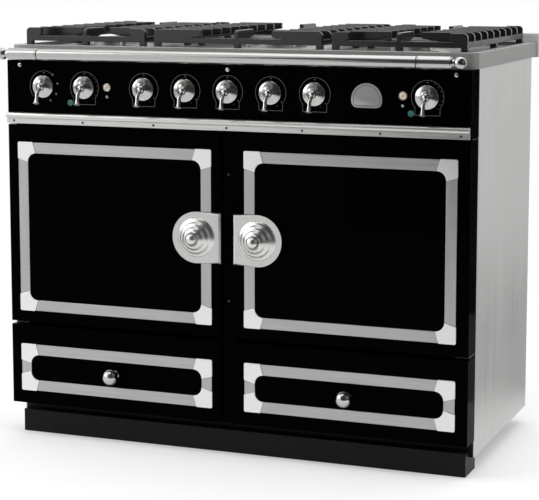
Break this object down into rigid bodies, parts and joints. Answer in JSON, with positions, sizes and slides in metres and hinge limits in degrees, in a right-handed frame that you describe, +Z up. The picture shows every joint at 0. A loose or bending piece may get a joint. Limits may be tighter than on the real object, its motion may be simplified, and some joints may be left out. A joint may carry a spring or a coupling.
{
  "type": "dual fuel range cooker",
  "caption": "Free-standing black enamel range cooker: gas hob with cast iron grates, hinged side-opening oven doors, storage drawers, lever knobs and a front towel rail.",
  "frame": {"origin": "middle of the footprint on the floor, halfway between the two ends of the cooker and halfway between the front rail and the rear upstand", "axes": "+X to the right seen from the front, +Y from front to back, +Z up"},
  "size_m": [1.1, 0.6596, 0.941],
  "materials": {
    "black_enamel": "gloss black vitreous enamel",
    "plinth_black": "satin black paint",
    "side_steel": "satin stainless sheet",
    "worktop_steel": "brushed stainless",
    "trim_steel": "brushed strips with polished corner pieces",
    "polished_metal": "polished chrome",
    "cast_iron": "matt black enamelled cast iron",
    "burner_metal": "die-cast aluminium",
    "burner_enamel": "matt black enamel",
    "oven_enamel": "speckled grey oven enamel",
    "zinc_sheet": "galvanised sheet",
    "wire": "plated wire",
    "element_steel": "dark heater sheath",
    "fan_steel": "plain pressed metal",
    "motor_paint": "plain dark paint",
    "insulation": "mineral wool",
    "seal": "woven heat-proof gasket",
    "pipe_brass": "plain brass and copper pipe",
    "switch_plastic": "moulded black",
    "terminal_plastic": "moulded dark grey",
    "foot_plastic": "moulded black",
    "lamp_lens": "cream lens",
    "badge_metal": "plain satin grey plate with a thin line inside its edge"
  },
  "bodies": {
    "casing": {"levelling_feet": "foot_plastic", "plinth": "plinth_black", "base_tray": "plinth_black", "left_side_panel": "side_steel", "right_side_panel": "side_steel", "back_panel": "zinc_sheet", "centre_stile": "black_enamel", "drawer_deck": "plinth_black", "worktop": "worktop_steel", "rear_upstand": "worktop_steel", "front_rail": "polished_metal", "rail_ends": "polished_metal", "control_panel": "black_enamel", "trim_moulding": "trim_steel", "front_screws": "polished_metal", "indicator_lamps": "lamp_lens", "badge_plate": "badge_metal", "gas_train": "pipe_brass", "oven_controls": "switch_plastic", "terminal_box": "terminal_plastic", "left_oven_liner": "oven_enamel", "right_oven_liner": "oven_enamel", "oven_insulation": "insulation", "door_seals": "seal", "oven_racks": "wire", "heating_elements": "element_steel", "fan_motor": "motor_paint", "fan_cover": "fan_steel", "burner_bases": "burner_metal", "burner_caps": "burner_enamel", "hinge_brackets": "zinc_sheet", "drawer_runners": "zinc_sheet"},
    "convection_fan": {"convection_fan": "fan_steel"},
    "left_grate": {"left_grate": "cast_iron"},
    "centre_grate": {"centre_grate": "cast_iron"},
    "right_grate": {"right_grate": "cast_iron"},
    "left_door": {"left_door_panel": "black_enamel", "left_door_liner": "oven_enamel", "left_door_trim": "trim_steel", "left_door_handle": "polished_metal"},
    "left_drawer": {"left_drawer_front": "black_enamel", "left_drawer_box": "zinc_sheet", "left_drawer_trim": "trim_steel", "left_drawer_knob": "polished_metal"},
    "right_door": {"right_door_panel": "black_enamel", "right_door_liner": "oven_enamel", "right_door_trim": "trim_steel", "right_door_handle": "polished_metal"},
    "right_drawer": {"right_drawer_front": "black_enamel", "right_drawer_box": "zinc_sheet", "right_drawer_trim": "trim_steel", "right_drawer_knob": "polished_metal"},
    "gas_knob_1": {"gas_knob_1": "polished_metal"},
    "gas_knob_2": {"gas_knob_2": "polished_metal"},
    "gas_knob_3": {"gas_knob_3": "polished_metal"},
    "gas_knob_4": {"gas_knob_4": "polished_metal"},
    "gas_knob_5": {"gas_knob_5": "polished_metal"},
    "oven_selector_knob": {"oven_selector_knob": "polished_metal"},
    "left_thermostat_knob": {"left_thermostat_knob": "polished_metal"},
    "right_thermostat_knob": {"right_thermostat_knob": "polished_metal"}
  },
  "joints": [
    {"name": "left_door_hinge", "type": "hinge", "parent": "casing", "child": "left_door", "pos_m": [-0.532, -0.24125, 0.4955], "axis": [0, 0, -1], "range_deg": [0, 100]},
    {"name": "left_drawer_slide", "type": "slide", "parent": "casing", "child": "left_drawer", "axis": [0, -1, 0], "range_m": [0, 0.36]},
    {"name": "right_door_hinge", "type": "hinge", "parent": "casing", "child": "right_door", "pos_m": [0.532, -0.24125, 0.4955], "axis": [0, 0, 1], "range_deg": [0, 100]},
    {"name": "right_drawer_slide", "type": "slide", "parent": "casing", "child": "right_drawer", "axis": [0, -1, 0], "range_m": [0, 0.36]},
    {"name": "gas_knob_1_turn", "type": "hinge", "parent": "casing", "child": "gas_knob_1", "pos_m": [-0.2, -0.27325, 0.811], "axis": [0, -1, 0], "range_deg": [0, 210]},
    {"name": "gas_knob_2_turn", "type": "hinge", "parent": "casing", "child": "gas_knob_2", "pos_m": [-0.1, -0.27325, 0.811], "axis": [0, -1, 0], "range_deg": [0, 210]},
    {"name": "gas_knob_3_turn", "type": "hinge", "parent": "casing", "child": "gas_knob_3", "pos_m": [0, -0.27325, 0.811], "axis": [0, -1, 0], "range_deg": [0, 210]},
    {"name": "gas_knob_4_turn", "type": "hinge", "parent": "casing", "child": "gas_knob_4", "pos_m": [0.1, -0.27325, 0.811], "axis": [0, -1, 0], "range_deg": [0, 210]},
    {"name": "gas_knob_5_turn", "type": "hinge", "parent": "casing", "child": "gas_knob_5", "pos_m": [0.2, -0.27325, 0.811], "axis": [0, -1, 0], "range_deg": [0, 210]},
    {"name": "oven_selector_knob_turn", "type": "hinge", "parent": "casing", "child": "oven_selector_knob", "pos_m": [-0.448, -0.27325, 0.811], "axis": [0, 1, 0], "range_deg": [0, 280]},
    {"name": "left_thermostat_knob_turn", "type": "hinge", "parent": "casing", "child": "left_thermostat_knob", "pos_m": [-0.346, -0.27325, 0.811], "axis": [0, 1, 0], "range_deg": [0, 280]},
    {"name": "right_thermostat_knob_turn", "type": "hinge", "parent": "casing", "child": "right_thermostat_knob", "pos_m": [0.448, -0.27325, 0.811], "axis": [0, 1, 0], "range_deg": [0, 280]},
    {"name": "left_grate_lift", "type": "slide", "parent": "casing", "child": "left_grate", "axis": [0, 0, 1], "range_m": [0, 0.1]},
    {"name": "centre_grate_lift", "type": "slide", "parent": "casing", "child": "centre_grate", "axis": [0, 0, 1], "range_m": [0, 0.1]},
    {"name": "right_grate_lift", "type": "slide", "parent": "casing", "child": "right_grate", "axis": [0, 0, 1], "range_m": [0, 0.1]},
    {"name": "convection_fan_spin", "type": "hinge", "parent": "casing", "child": "convection_fan", "pos_m": [-0.277, 0.18275, 0.495], "axis": [0, -1, 0], "continuous": true}
  ]
}
